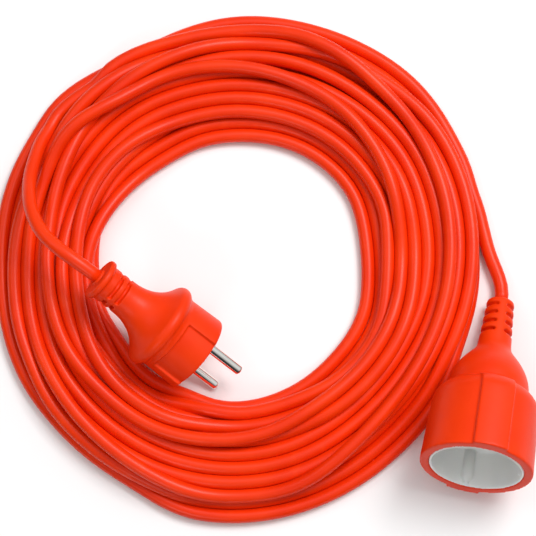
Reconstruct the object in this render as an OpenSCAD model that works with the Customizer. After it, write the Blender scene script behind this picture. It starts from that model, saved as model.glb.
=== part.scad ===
// Two-core extension cord: a moulded plug and a moulded coupling socket on a round coiled cord.
// Millimetres, +Z up. The origin is on the floor under the middle of the socket.

/* [Cord] */
// Outer diameter of the cord's sheath
cord_d = 6.4; // [5.8:0.1:6.8]
// Outer diameter of one insulated core
core_d = 2.4; // [2.0:0.1:2.6]
// Distance between the middles of the two cores inside the sheath
core_pitch = 2.6; // [2.6:0.1:3.0]
// Outer diameter of the coil
coil_outer_d = 220; // [200:1:222]
// Inner diameter of the coil
coil_inner_d = 128; // [110:1:132]
// Length of sheath inside each moulding
sheath_len = 21; // [18:0.5:24]
// Length of the two cores inside that sheath's end
core_bury = 7; // [5:0.5:10]
// Height of the coil
coil_h = 18; // [12:1:24]
// Rounding of the coil's four edges
coil_edge_r = 8; // [3:0.5:9]

/* [Pins] */
// Diameter of a round pin
pin_d = 4.8; // [4:0.1:5.4]
// Length of pin that stands out of the plug's face
pin_reach = 19; // [15:0.5:23]
// Distance between the middles of the two pins
pin_pitch = 19; // [17:0.5:21]
// Rounding of a pin's tip
pin_tip_r = 1.2; // [0.4:0.1:2]
// Diameter of the pin's shank inside the plug
shank_d = 4.2; // [3.6:0.1:4.6]
// Diameter of the collar that locks the pin in its bridge
pin_collar_d = 6.2; // [5:0.1:7]
// Diameter of the tail that takes the crimp, on pins and contacts
tail_d = 3.2; // [2.6:0.1:3.4]
// Wall of a crimp barrel
crimp_wall = 0.6; // [0.4:0.1:1]
// Length of a crimp barrel
crimp_len = 6; // [5:0.5:8]

/* [Plug] */
// Length of the plug's body from its collar to its face
plug_len = 58.5; // [54:0.5:66]
// Radius of the collar at the cord's end
collar_r = 10; // [9:0.1:12]
// Thickness of the collar
collar_t = 3; // [2:0.1:4]
// Radius of the slotted neck
plug_neck_r = 8.4; // [7.5:0.1:9]
// Length of collar and neck, up to the bell
plug_neck_len = 14; // [12:0.5:17]
// Distance that the hand flange stands out over the body in front of it
flange_over = 2.2; // [1:0.1:4]
// Rounding of the flange's rim
flange_edge_r = 3.4; // [2:0.1:4]
// Length of the body that enters a socket
engage_len = 17.3; // [15:0.1:19]
// Radius of that body at its face
engage_face_r = 18.5; // [17:0.1:19]
// How much smaller that body is at the flange
engage_taper = 0.5; // [0:0.1:1]
// Distance between that body and the flange's rounding
engage_step = 1.7; // [1:0.1:3]
// Rounding of the face's edge
engage_edge_r = 1.5; // [0.5:0.1:2.5]
// Depth of the two side recesses
recess_depth = 1.3; // [0.6:0.1:2]
// Distance between a side recess and the flange
recess_from = 1.5; // [1:0.1:4]
// Width of a side recess, as an angle
recess_span = 88; // [60:1:110]
// Turn of the recesses from the line through the pins
recess_turn = 55; // [40:1:90]
// Width of a strain relief slot
slot_w = 1.8; // [1.2:0.1:2.2]
// Distance from the collar's back to the first row of slots
plug_slot_from = 7.1; // [5:0.1:8]
// Distance between rows of slots on the plug
plug_slot_pitch = 4.2; // [3.6:0.1:5]
// Depth of a slot in the plug's neck
plug_slot_depth = 2.2; // [1:0.1:3]
// Turn of the first slot from the line through the pins
plug_slot_turn = 27; // [0:1:60]
// Width of the slots on two of the plug's sides, as an angle
plug_slot_wide = 92; // [60:1:100]
// Width of the slots on its other two sides, as an angle
plug_slot_narrow = 56; // [40:1:70]
// Length of the bridge that holds the pins
bridge_len = 10; // [8:0.5:12]
// Wall of the bridge around a pin's collar
bridge_wall = 1.4; // [1:0.1:1.8]
// Thickness of the face in front of the bridge
face_t = 4.5; // [3:0.5:6]
// Length of a pin's tail behind the bridge
pin_tail_len = 5; // [4:0.5:6]

/* [Socket] */
// Length of the socket from its neck's end to its mouth
socket_len = 86; // [82:0.5:95]
// Radius of the neck at its end
neck_end_r = 6.5; // [6:0.1:7.5]
// Radius of the neck where the bell begins
neck_root_r = 7.8; // [7:0.1:9]
// Length of the neck
neck_len = 23.5; // [22:0.5:27]
// Distance from the neck's end to the first row of slots
neck_slot_from = 3; // [2:0.1:4]
// Distance between rows of slots on the socket's neck
neck_slot_pitch = 4.6; // [4:0.1:5.2]
// Width of a slot on the socket's neck, as an angle
neck_slot_span = 146; // [120:1:160]
// Depth of a slot at the neck's end
neck_slot_depth = 1.8; // [1:0.1:2.4]
// Radius of the bell where it meets the drum
bell_r = 18.6; // [18:0.1:20]
// Distance from the neck's end to the drum
drum_from = 48; // [46:0.5:50]
// Wall of the drum around the insert, behind its shoulder
drum_back_wall = 3; // [2.5:0.1:5]
// Wall of the drum around the insert, at its mouth
drum_mouth_wall = 4.2; // [3:0.1:6]
// Rounding of the drum's shoulder
shoulder_r = 9.3; // [6:0.1:10]
// Width of a grip rib
grip_w = 15.4; // [10:0.1:20]
// Height of a grip rib over the drum
grip_h = 1.8; // [1:0.1:2.5]

/* [Socket insert] */
// Thickness of the cup's wall at its mouth
cup_wall = 1.2; // [1:0.1:1.6]
// Thickness of the cup's wall behind its floor
cup_skirt = 1.8; // [1.4:0.1:2.2]
// Thickness of the cup's floor
floor_t = 3.5; // [2.5:0.1:4]
// Width of the half-round guide ribs inside the cup
guide_w = 5.3; // [4:0.1:7]
// Width of the tab in front of a guide rib
guide_tab_w = 2.1; // [1.5:0.1:3]
// Radius of the slim ribs at the cup's sides
side_rib_r = 1.1; // [0.6:0.1:1.4]
// Distance that a guide rib ends short of the mouth
guide_setback = 4; // [2:0.5:8]

/* [Contacts] */
// Wall of a contact tube
contact_wall = 0.7; // [0.5:0.1:0.9]
// Room in a contact tube behind a pin's tip
tip_room = 2.4; // [1:0.1:4]
// Thickness of a contact tube's closed end
contact_end_t = 1.5; // [1:0.1:2]
// Width of the slit that lets a contact tube spring open
contact_slit = 0.8; // [0.5:0.1:1.2]
// Length of the clip around a contact tube
clip_len = 2; // [1.5:0.1:3]
// Wall of that clip
clip_wall = 0.5; // [0.4:0.1:0.7]
// Wall of the carrier's block around a contact tube
carrier_wall = 2.05; // [1:0.05:2.4]
// Thickness of the carrier's front plate
carrier_plate_t = 2.5; // [2:0.1:3]

/* [Shutter] */
// Thickness of the shutter disc
shutter_t = 1.5; // [1.2:0.1:1.8]
// Width of the shutter disc's rim outside the pin holes
shutter_rim = 2.8; // [1.5:0.1:4]
// Angle that the shutter turns to open the pin holes
shutter_turn = 40; // [38:1:50]
// Radius of the boss that the shutter turns on
pivot_r = 2.5; // [2:0.1:3]
// Radius of the pin that stops the shutter
stop_pin_r = 1; // [0.8:0.1:1.3]
// Distance from the boss's side to that pin's middle
stop_pin_out = 8; // [6:0.1:10]
// Height of the shutter's ramps
ramp_h = 1.4; // [1:0.1:1.5]
// Wire diameter of the return spring
spring_wire = 0.5; // [0.4:0.1:0.6]
// Thickness of the ring that keeps the shutter on its boss
retainer_t = 0.8; // [0.6:0.1:1]

/* [Fits] */
// Gap between a plug's body and the cup's wall
engage_gap = 1.6; // [1:0.1:2]
// Gap between a plug's face and the cup's floor
face_gap = 0.2; // [0.1:0.1:0.5]
// Gap around a pin in its hole
pin_hole_gap = 0.3; // [0.2:0.05:0.45]
// Interference of a pin in its contact tube
contact_grip = 0.05; // [0.02:0.01:0.1]
// Gap around a piece that is held in another
seat_gap = 0.05; // [0.03:0.01:0.1]
// Radial gap of the shutter on its boss
pivot_gap = 0.06; // [0.03:0.01:0.1]
// Gap on the faces that move past each other
free_gap = 0.5; // [0.3:0.05:0.6]
// Gap between the shutter and its spring, and around its stop pin
spring_gap = 0.3; // [0.2:0.05:0.5]

/* [Layout] */
// Turn of the socket from the -Y direction
socket_yaw = 11.5; // [0:0.5:20]
// Roll of the socket about its own axis
socket_roll = 5; // [0:1:20]
// Angle that the plug's pins point down
plug_tilt = 22; // [18:0.5:24]
// Turn of the plug from the +X direction
plug_yaw = -36; // [-40:0.5:-32]
// Roll of the plug about its own axis
plug_roll = 146; // [140:1:150]
// Direction from the coil's middle to the plug's flange
flange_side = 222; // [215:1:228]
// Distance that the flange's rim reaches over the coil's inner edge
flange_lap = 2.9; // [0:0.1:3]

/* [Hidden] */

$fn = 64;
eps = 0.01;
left = -1;
right = 1;

orange = [0.93, 0.22, 0.05];
off_white = [0.86, 0.86, 0.83];
nickel = [0.78, 0.78, 0.76];
brass = [0.80, 0.66, 0.32];
steel = [0.62, 0.64, 0.67];
tin = [0.72, 0.73, 0.74];
grey_plastic = [0.45, 0.46, 0.48];
core_blue = [0.10, 0.25, 0.70];
core_brown = [0.36, 0.20, 0.10];

cord_r = cord_d / 2;
core_r = core_d / 2;
pin_r = pin_d / 2;
shank_r = shank_d / 2;
tail_r = tail_d / 2;
pin_x = pin_pitch / 2;
pin_hole_r = pin_r + pin_hole_gap;
pin_collar_r = pin_collar_d / 2;
crimp_bore_r = tail_r + seat_gap;
crimp_r = crimp_bore_r + crimp_wall;

// Plug stations, from the collar's back face.
engage_root_r = engage_face_r - engage_taper;
flange_r = engage_face_r + flange_over;
flange_at = plug_len - engage_len - flange_edge_r - engage_step;
bridge_to = plug_len - face_t;
bridge_from = bridge_to - bridge_len;
bridge_half_t = pin_collar_r + bridge_wall;
pin_tail_from = bridge_from - pin_tail_len;
plug_crimp_from = pin_tail_from - pin_tail_len / 2;
pin_collar_t = 2;
pin_collar_from = bridge_from + (bridge_len - pin_collar_t) / 2;

// The insert's radii, around a plug's body.
cup_bore_r = engage_face_r + engage_gap;
cup_r = cup_bore_r + cup_wall;
skirt_r = cup_r - cup_skirt;
drum_back_r = cup_r + drum_back_wall;
drum_mouth_r = cup_r + drum_mouth_wall;

// Socket stations, from the neck's end.
recess = engage_len + face_gap;
floor_front = socket_len - recess;
floor_back = floor_front - floor_t;
shutter_front = floor_back - free_gap - ramp_h;
shutter_back = shutter_front - shutter_t;
spring_len = 3.2 * spring_wire;
retainer_front = shutter_back - spring_gap - spring_len - 0.1;
pivot_end = retainer_front - retainer_t - spring_gap;
carrier_front = pivot_end;
cup_back = carrier_front - carrier_plate_t;
contact_bore_r = pin_r - contact_grip;
contact_r = contact_bore_r + contact_wall;
contact_front = shutter_back - free_gap - spring_gap;
contact_back = floor_front + face_gap - pin_reach - tip_room - contact_end_t;
contact_tail_len = 3;
carrier_r = pin_x + contact_r + carrier_wall;
carrier_back = contact_back;
socket_crimp_from = contact_back - crimp_len - seat_gap;
clip_back = carrier_front + seat_gap;
shutter_r = pin_x + pin_hole_r + shutter_rim;
// The stop pin stands across the pin line, and the shutter's slot runs past it.
shutter_stop_r = pivot_r + stop_pin_out;

// The socket rests on its neck's end and on the shoulder of its lower grip rib.
shoulder_at = drum_from + shoulder_r - 0.6;
shoulder_mid_r = drum_back_r + grip_h - shoulder_r;
socket_tilt = atan2(shoulder_mid_r - neck_end_r, shoulder_at)
    + asin(shoulder_r / norm([shoulder_mid_r - neck_end_r, shoulder_at]));
socket_at = [13.7, 43.6, neck_end_r * cos(socket_tilt)];

coil_at = [-110, 61, 0];

// The plug's flange leans over the coil's inner edge, and its lower pin's tip stands on the floor.
flange_out = coil_inner_d / 2 + flange_lap - flange_r;
pins_up = (pin_x * abs(cos(plug_roll)) + pin_r - pin_tip_r) * cos(plug_tilt)
    + pin_tip_r * (1 - sin(plug_tilt));
plug_at = [coil_at[0] + flange_out * cos(flange_side) - flange_at * cos(plug_tilt) * cos(plug_yaw),
    coil_at[1] + flange_out * sin(flange_side) - flange_at * cos(plug_tilt) * sin(plug_yaw),
    pins_up + (plug_len + pin_reach) * sin(plug_tilt)];

// The cord's two uncoiled routes: the ends follow the plug and the socket, the rest is laid by hand.
function spun(p, a) = [p[0] * cos(a) - p[1] * sin(a), p[0] * sin(a) + p[1] * cos(a), p[2]];
function plug_out(d) = plug_at + d * spun([-cos(plug_tilt), 0, sin(plug_tilt)], plug_yaw);
function socket_out(d) = socket_at + d * spun([0, cos(socket_tilt), -sin(socket_tilt)], -socket_yaw);
plug_tail_route = [plug_out(0), plug_out(5), [-182.5, 57.5, 42.4], [-190.5, 63.5, 42], [-198, 71, 39],
    [-203.5, 80.5, 34.5], [-206.5, 91, 29.5], [-207, 101.5, 25.5], [-204.5, 112, 22.5], [-199.5, 121.5, 20],
    [-192, 130, 17], [-183, 137, 13.5]];
socket_tail_route = [socket_out(0), socket_out(3), [14.4, 51, 4.1], [12.9, 58, 3.6], [9.8, 65, 3.5],
    [5.3, 73.5, 3.5], [-0.5, 83, 3.6], [-6, 93, 4], [-11, 103, 5]];

// Points of an arc about (cx, cy), from angle a to angle b.
function arc(cx, cy, r, a, b, n = 8) =
    [for (i = [0:n]) let (t = a + (b - a) * i / n) [cx + r * cos(t), cy + r * sin(t)]];

// Points of a cubic curve through p and s, pulled towards q and r, without its first point.
function curve(p, q, r, s, n = 8) =
    [for (i = [1:n]) let (t = i / n, u = 1 - t)
        u * u * u * p + 3 * u * u * t * q + 3 * u * t * t * r + t * t * t * s];

// A tube of radius r along a route of points, with n sides.
module tube(route, r, n) {
    last = len(route) - 1;
    function along(i) = let (d = route[min(i + 1, last)] - route[max(i - 1, 0)]) d / norm(d);
    function side(i) = let (a = along(i), s = cross(a, abs(a[2]) > 0.9 ? [1, 0, 0] : [0, 0, 1]))
        s / norm(s);
    rings = [for (i = [0:last]) let (s = side(i), u = cross(s, along(i)))
        for (k = [0:n - 1]) route[i] + r * (s * cos(360 * k / n) + u * sin(360 * k / n))];
    skin = [for (i = [0:last - 1]) for (k = [0:n - 1]) let (m = (k + 1) % n)
        [i * n + k, i * n + m, (i + 1) * n + m, (i + 1) * n + k]];
    polyhedron(rings, concat([[for (k = [n - 1:-1:0]) k]], skin, [[for (k = [0:n - 1]) last * n + k]]));
}

// Points between the given ones, on a curve that passes through them all.
function between(p, q, r, s, t) =
    0.5 * (2 * q + (r - p) * t + (2 * p - 5 * q + 4 * r - s) * t * t
        + (3 * q - p - 3 * r + s) * t * t * t);
function smooth(route, steps) = let (last = len(route) - 1) concat(
    [for (i = [0:last - 1]) for (k = [0:steps - 1])
        between(route[max(i - 1, 0)], route[i], route[i + 1], route[min(i + 2, last)], k / steps)],
    [route[last]]);

// A ring sector between two radii, from z to z + h, centred on an angle.
module sector(r0, r1, z, h, mid, span) {
    rotate([0, 0, mid - span / 2])
        rotate_extrude(angle = span)
            translate([r0, z])
                square([r1 - r0, h]);
}

module place_plug() {
    translate(plug_at)
        rotate([0, 90 + plug_tilt, plug_yaw])
            rotate([0, 0, plug_roll])
                children();
}

module place_socket() {
    translate(socket_at)
        rotate([90 - socket_tilt, 0, -socket_yaw])
            rotate([0, 0, -socket_roll])
                children();
}

// The flat space that the two cores spread in, from the sheath's end to the crimps.
module core_space(wide_from, to) {
    from = sheath_len - 1;
    half = pin_x + crimp_r + 3 * seat_gap;
    thick = 2 * crimp_r + 2 * seat_gap;
    translate([0, thick / 2, 0])
        rotate([90, 0, 0])
            linear_extrude(thick)
                polygon([[-cord_r, from], [cord_r, from], [half, wide_from], [half, to],
                    [-half, to], [-half, wide_from]]);
}

// One core from its place in the sheath, side -1 or 1, to its crimp.
module core(side, crimp_from) {
    x0 = side * core_pitch / 2;
    x1 = side * pin_x;
    rise = crimp_from - sheath_len;
    tube(smooth([[x0, 0, sheath_len - core_bury + 1], [x0, 0, sheath_len],
        [x0 + side * 0.4, 0, sheath_len + 0.15 * rise], [(x0 + x1) / 2, 0, sheath_len + 0.5 * rise],
        [x1 - side * 0.4, 0, sheath_len + 0.85 * rise], [x1, 0, crimp_from], [x1, 0, crimp_from + 2]], 2),
        core_r, 10);
}

module crimp(side, from) {
    translate([side * pin_x, 0, from])
        difference() {
            cylinder(r = crimp_r, h = crimp_len);
            translate([0, 0, -eps])
                cylinder(r = crimp_bore_r, h = crimp_len + 2 * eps);
        }
}

// The cord's sheath inside a moulding, with its two core holes at the inner end.
module sheath_end() {
    difference() {
        cylinder(r = cord_r, h = sheath_len);
        for (side = [left, right])
            translate([side * core_pitch / 2, 0, sheath_len - core_bury])
                cylinder(r = core_r + seat_gap, h = core_bury + eps);
    }
}

// ---- plug ----

function plug_outline() = concat(
    [[0, 0], [collar_r - 1, 0]],
    arc(collar_r - 1, 1, 1, -90, 0, 3),
    arc(collar_r - 1, collar_t - 1, 1, 0, 90, 3),
    [[plug_neck_r, collar_t], [plug_neck_r, plug_neck_len]],
    curve([plug_neck_r, plug_neck_len], [plug_neck_r, plug_neck_len + 10.5],
        [flange_r - 7.3, flange_at - 6], flange_start, 12),
    arc(flange_r - flange_edge_r, flange_at, flange_edge_r, -63, 65, 8),
    [[engage_root_r, plug_len - engage_len]],
    arc(engage_face_r - engage_edge_r, plug_len - engage_edge_r, engage_edge_r, 0, 90, 4),
    [[0, plug_len]]);
flange_start = arc(flange_r - flange_edge_r, flange_at, flange_edge_r, -63, 65, 8)[0];

module bridge_form(grow) {
    translate([0, 0, bridge_from - grow])
        linear_extrude(bridge_len + 2 * grow)
            union() {
                square([pin_pitch, 2 * (bridge_half_t + grow)], center = true);
                for (side = [left, right])
                    translate([side * pin_x, 0])
                        circle(r = bridge_half_t + grow);
            }
}

module plug_pin_form(side, grow) {
    translate([side * pin_x, 0, 0]) {
        translate([0, 0, pin_tail_from])
            cylinder(r = tail_r + grow, h = bridge_from - pin_tail_from + eps);
        translate([0, 0, bridge_from])
            cylinder(r = shank_r + grow, h = plug_len - bridge_from);
        translate([0, 0, pin_collar_from - grow])
            cylinder(r = pin_collar_r + grow, h = pin_collar_t + 2 * grow);
    }
}

module plug_pin(side) {
    plug_pin_form(side, 0);
    translate([side * pin_x, 0, plug_len])
        rotate_extrude()
            polygon(concat([[0, 0], [pin_r, 0]],
                arc(pin_r - pin_tip_r, pin_reach - pin_tip_r, pin_tip_r, 0, 90, 5), [[0, pin_reach]]));
}

module plug_shell() {
    color(orange)
    place_plug()
    difference() {
        rotate_extrude()
            polygon(plug_outline());
        // the two side recesses of the body that enters the socket
        for (turn = [recess_turn, recess_turn + 180])
            sector(engage_root_r - recess_depth, flange_r, plug_len - engage_len + recess_from,
                engage_len, turn, recess_span);
        // strain relief slots
        for (row = [0, 1])
            for (k = [0:3])
                sector(plug_neck_r - plug_slot_depth, collar_r, plug_slot_from + row * plug_slot_pitch,
                    slot_w, plug_slot_turn + 90 * k, k % 2 == 0 ? plug_slot_wide : plug_slot_narrow);
        // the cord, the cores, the bridge and the pins that the moulding closes round
        translate([0, 0, -eps])
            cylinder(r = cord_r + seat_gap, h = sheath_len + seat_gap);
        core_space(plug_crimp_from - 1, bridge_from);
        bridge_form(seat_gap);
        for (side = [left, right])
            translate([side * pin_x, 0, bridge_to])
                cylinder(r = shank_r + seat_gap, h = face_t + 1);
    }
}

module plug_pin_bridge() {
    color(grey_plastic)
    place_plug()
    difference() {
        bridge_form(0);
        for (side = [left, right])
            plug_pin_form(side, seat_gap);
        for (side = [left, right])
            translate([side * pin_x, 0, bridge_from - eps])
                cylinder(r = shank_r + seat_gap, h = 1);
    }
}

module plug_pin_left() {
    color(nickel) place_plug() plug_pin(left);
}

module plug_pin_right() {
    color(nickel) place_plug() plug_pin(right);
}

module plug_crimp_left() {
    color(tin) place_plug() crimp(left, plug_crimp_from);
}

module plug_crimp_right() {
    color(tin) place_plug() crimp(right, plug_crimp_from);
}

module plug_core_blue() {
    color(core_blue) place_plug() core(left, plug_crimp_from);
}

module plug_core_brown() {
    color(core_brown) place_plug() core(right, plug_crimp_from);
}

module plug_sheath_end() {
    color(orange) place_plug() sheath_end();
}

// ---- cord ----

module cord_plug_tail() {
    color(orange) tube(smooth(plug_tail_route, 2), cord_r, 10);
}

module cord_socket_tail() {
    color(orange) tube(smooth(socket_tail_route, 2), cord_r, 10);
}

module cord_coil() {
    w = (coil_outer_d - coil_inner_d) / 2 - 2 * coil_edge_r;
    r0 = coil_inner_d / 2 + coil_edge_r;
    e = coil_edge_r;
    color(orange)
    translate(coil_at)
        rotate_extrude($fn = 96)
            polygon(concat(
                arc(r0, e, e, 180, 270, 4), arc(r0 + w, e, e, 270, 360, 4),
                arc(r0 + w, coil_h - e, e, 0, 90, 4), arc(r0, coil_h - e, e, 90, 180, 4)));
}

// ---- socket ----

function bell_outline() = let (foot = [neck_root_r, neck_len], knee = [neck_root_r + 2.9, neck_len + 6])
    concat(
        arc(neck_end_r - 1.2, 1.2, 1.2, -90, 0, 3),
        [foot],
        curve(foot, foot + [0.1, 2.5], foot + [1.2, 4], knee, 4),
        curve(knee, knee + [3.8, 4.5], [bell_r, drum_from - 8.5], [bell_r, drum_from - 1.2], 8));

// Outline of the drum, grown outwards by g where a grip rib stands on it.
function drum_outline(g) = concat(
    [[0, drum_from], [bell_r - 1 + g, drum_from]],
    arc(drum_back_r + g - shoulder_r, shoulder_at, shoulder_r, -50, 0, 6),
    [[drum_mouth_r + g, socket_len], [0, socket_len]]);

module socket_shell() {
    color(orange)
    place_socket()
    difference() {
        union() {
            rotate_extrude()
                polygon(concat([[0, 0]], bell_outline(), [[bell_r, drum_from + 1], [0, drum_from + 1]]));
            rotate_extrude()
                polygon(drum_outline(0));
            intersection() {
                rotate_extrude()
                    polygon(drum_outline(grip_h));
                translate([-grip_w / 2, -2 * drum_mouth_r, drum_from - 1])
                    cube([grip_w, 4 * drum_mouth_r, socket_len]);
            }
        }
        // strain relief slots, with a spine left above and below
        for (row = [0:3])
            for (mid = [0, 180])
                sector(neck_end_r - neck_slot_depth, neck_root_r + 2,
                    neck_slot_from + row * neck_slot_pitch, slot_w, mid, neck_slot_span);
        // the cord and its cores
        translate([0, 0, -eps])
            cylinder(r = cord_r + seat_gap, h = sheath_len + seat_gap);
        core_space(socket_crimp_from - 1, carrier_back + 1);
        // the carrier's block and the insert
        translate([0, 0, carrier_back - seat_gap])
            cylinder(r = carrier_r + seat_gap, h = cup_back - carrier_back + 1);
        translate([0, 0, cup_back - seat_gap])
            cylinder(r = cup_r + seat_gap, h = socket_len - cup_back + 1);
    }
}

module socket_cup() {
    color(off_white)
    place_socket()
    difference() {
        union() {
            difference() {
                translate([0, 0, cup_back])
                    cylinder(r = cup_r, h = socket_len - cup_back);
                // the recess, a little narrower at its floor
                rotate_extrude()
                    polygon([[0, floor_front], [cup_bore_r - 0.5, floor_front],
                        [cup_bore_r, socket_len - 0.8], [cup_bore_r + 0.3, socket_len + eps],
                        [0, socket_len + eps]]);
                translate([0, 0, cup_back - eps])
                    cylinder(r = skirt_r + seat_gap, h = floor_back - cup_back + eps);
            }
            // half-round guide ribs above and below, each with its tab, and slim ribs at the sides
            intersection() {
                translate([0, 0, floor_front - eps])
                    cylinder(r = cup_r - 0.3, h = recess);
                union() {
                    for (s = [-1, 1]) {
                        translate([0, s * (cup_bore_r - 0.2), floor_front - eps])
                            cylinder(r = guide_w / 2, h = recess - guide_setback);
                        translate([-guide_tab_w / 2, s * (cup_bore_r - 0.1) - 1, floor_front - eps])
                            cube([guide_tab_w, 2, recess - 0.2]);
                        translate([s * (cup_bore_r - 0.1), 0, floor_front - eps])
                            cylinder(r = side_rib_r, h = recess - guide_setback / 2);
                    }
                }
            }
            // the boss that the shutter turns on, and the pin that stops it
            translate([0, 0, pivot_end])
                cylinder(r = pivot_r, h = floor_back - pivot_end + eps);
            translate([0, shutter_stop_r, shutter_back - 0.2])
                cylinder(r = stop_pin_r, h = floor_back - shutter_back + 0.2 + eps);
        }
        for (side = [left, right])
            translate([side * pin_x, 0, floor_back - eps])
                cylinder(r = pin_hole_r, h = floor_t + 2 * eps);
    }
}

module socket_carrier() {
    color(grey_plastic)
    place_socket()
    difference() {
        union() {
            translate([0, 0, carrier_back])
                cylinder(r = carrier_r, h = carrier_front - carrier_back);
            translate([0, 0, cup_back])
                cylinder(r = skirt_r, h = carrier_plate_t);
        }
        for (side = [left, right])
            translate([side * pin_x, 0, carrier_back - eps])
                cylinder(r = contact_r + seat_gap, h = carrier_front - carrier_back + 2 * eps);
    }
}

module contact(side) {
    translate([side * pin_x, 0, 0])
        difference() {
            union() {
                translate([0, 0, contact_back])
                    cylinder(r = contact_r, h = contact_front - contact_back);
                translate([0, 0, contact_back - contact_tail_len])
                    cylinder(r = tail_r, h = contact_tail_len + eps);
            }
            translate([0, 0, contact_back + contact_end_t])
                cylinder(r = contact_bore_r, h = contact_front - contact_back);
            translate([-contact_slit / 2, -contact_r - 1, contact_back + 5])
                cube([contact_slit, 2 * contact_r + 2, contact_front - contact_back]);
        }
}

module contact_left() {
    color(brass) place_socket() contact(left);
}

module contact_right() {
    color(brass) place_socket() contact(right);
}

module contact_clip(side) {
    translate([side * pin_x, 0, clip_back])
        difference() {
            cylinder(r = contact_r + seat_gap + clip_wall, h = clip_len);
            translate([0, 0, -eps])
                cylinder(r = contact_r + seat_gap, h = clip_len + 2 * eps);
            translate([0, -0.6, -eps])
                cube([contact_r + 2, 1.2, clip_len + 2 * eps]);
        }
}

module contact_clip_left() {
    color(steel) place_socket() contact_clip(left);
}

module contact_clip_right() {
    color(steel) place_socket() contact_clip(right);
}

// The disc closes both pin holes at rest and turns about +Z of the socket to open them.
module shutter_disc() {
    slot_half = stop_pin_r + spring_gap;
    color(off_white)
    place_socket() {
        difference() {
            translate([0, 0, shutter_back])
                cylinder(r = shutter_r, h = shutter_t);
            translate([0, 0, shutter_back - eps])
                cylinder(r = pivot_r + pivot_gap, h = shutter_t + 2 * eps);
            for (a = [-shutter_turn, 180 - shutter_turn])
                rotate([0, 0, a])
                    translate([pin_x, 0, shutter_back - eps])
                        cylinder(r = pin_hole_r + 0.2, h = shutter_t + 2 * eps);
            sector(shutter_stop_r - slot_half, shutter_stop_r + slot_half, shutter_back - eps,
                shutter_t + 2 * eps, 90 - shutter_turn / 2,
                shutter_turn + 2 * asin(slot_half / shutter_stop_r));
        }
        // ramps that the pins push aside
        for (a = [0, 180])
            rotate([0, 0, a])
                translate([pin_x + 1.5, 0, shutter_front])
                    rotate([90, 0, -90])
                        linear_extrude(3)
                            polygon([[-1.8, -0.1], [1.8, -0.1], [1.8, ramp_h]]);
    }
}

// A torsion spring of two turns round the boss, with a leg that hooks the shutter.
module shutter_spring() {
    r = pivot_r + 1.2;
    z0 = retainer_front + spring_wire / 2 + 0.05;
    rise = spring_len - spring_wire - 0.1;
    color(steel)
    place_socket()
        tube([for (i = [0:32]) let (a = 22.5 * i)
            [(r + (i > 30 ? (i - 30) * 0.6 : 0)) * cos(a), (r + (i > 30 ? (i - 30) * 0.6 : 0)) * sin(a),
                z0 + rise * i / 32]], spring_wire / 2, 8);
}

module shutter_retainer() {
    color(steel)
    place_socket()
    translate([0, 0, retainer_front - retainer_t])
        difference() {
            cylinder(r = pivot_r + 2.2, h = retainer_t);
            translate([0, 0, -eps])
                cylinder(r = pivot_r + seat_gap / 2, h = retainer_t + 2 * eps);
        }
}

module socket_core_blue() {
    color(core_blue) place_socket() core(left, socket_crimp_from);
}

module socket_core_brown() {
    color(core_brown) place_socket() core(right, socket_crimp_from);
}

module socket_crimp_left() {
    color(tin) place_socket() crimp(left, socket_crimp_from);
}

module socket_crimp_right() {
    color(tin) place_socket() crimp(right, socket_crimp_from);
}

module socket_sheath_end() {
    color(orange) place_socket() sheath_end();
}

plug_shell();
plug_pin_bridge();
plug_pin_left();
plug_pin_right();
plug_crimp_left();
plug_crimp_right();
plug_core_blue();
plug_core_brown();
plug_sheath_end();
cord_plug_tail();
cord_coil();
cord_socket_tail();
socket_sheath_end();
socket_shell();
socket_cup();
socket_carrier();
contact_left();
contact_right();
contact_clip_left();
contact_clip_right();
shutter_disc();
shutter_spring();
shutter_retainer();
socket_core_blue();
socket_core_brown();
socket_crimp_left();
socket_crimp_right();
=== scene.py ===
"""A two-core extension cord: coiled orange cord, moulded plug and moulded coupling socket."""

import logging
import math
from dataclasses import dataclass, field
from enum import Enum
from typing import ClassVar

import bmesh
import bpy
import numpy as np
from mathutils import Matrix, Vector


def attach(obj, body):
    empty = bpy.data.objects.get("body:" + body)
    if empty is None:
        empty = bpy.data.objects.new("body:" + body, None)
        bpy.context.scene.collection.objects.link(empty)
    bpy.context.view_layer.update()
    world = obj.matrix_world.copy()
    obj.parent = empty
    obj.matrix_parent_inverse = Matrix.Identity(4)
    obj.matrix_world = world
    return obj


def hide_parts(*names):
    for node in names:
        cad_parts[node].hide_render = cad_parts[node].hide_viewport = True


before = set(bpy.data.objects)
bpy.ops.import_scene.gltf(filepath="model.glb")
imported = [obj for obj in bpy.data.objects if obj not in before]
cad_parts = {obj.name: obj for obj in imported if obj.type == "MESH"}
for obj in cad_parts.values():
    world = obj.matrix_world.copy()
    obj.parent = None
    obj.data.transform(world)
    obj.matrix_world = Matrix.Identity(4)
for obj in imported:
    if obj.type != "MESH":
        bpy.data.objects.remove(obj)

LOG = logging.getLogger("extension_cord")
MM = 0.001

Colour = tuple[float, float, float]
Point = tuple[float, float, float]
Span = tuple[float, float]

# The cord's planned points are marked 0 on the socket's stretch, 1 in the turns and 2 on the plug's
# stretch; between these marks a point is in a gap that the plan leaves open.
ON_SOCKET_SIDE, ON_PLUG_SIDE = 0.02, 1.98


class Slot(Enum):
    """The record's material slots."""

    PVC = "orange_pvc"
    CORD = "orange_cord"
    WHITE = "white_plastic"
    GREY = "grey_plastic"
    NICKEL = "nickel"
    BRASS = "brass"
    SPRING = "spring_steel"
    TIN = "tinned_copper"
    BLUE = "blue_core"
    BROWN = "brown_core"


# ---------------------------------------------------------------- shader helpers


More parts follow.
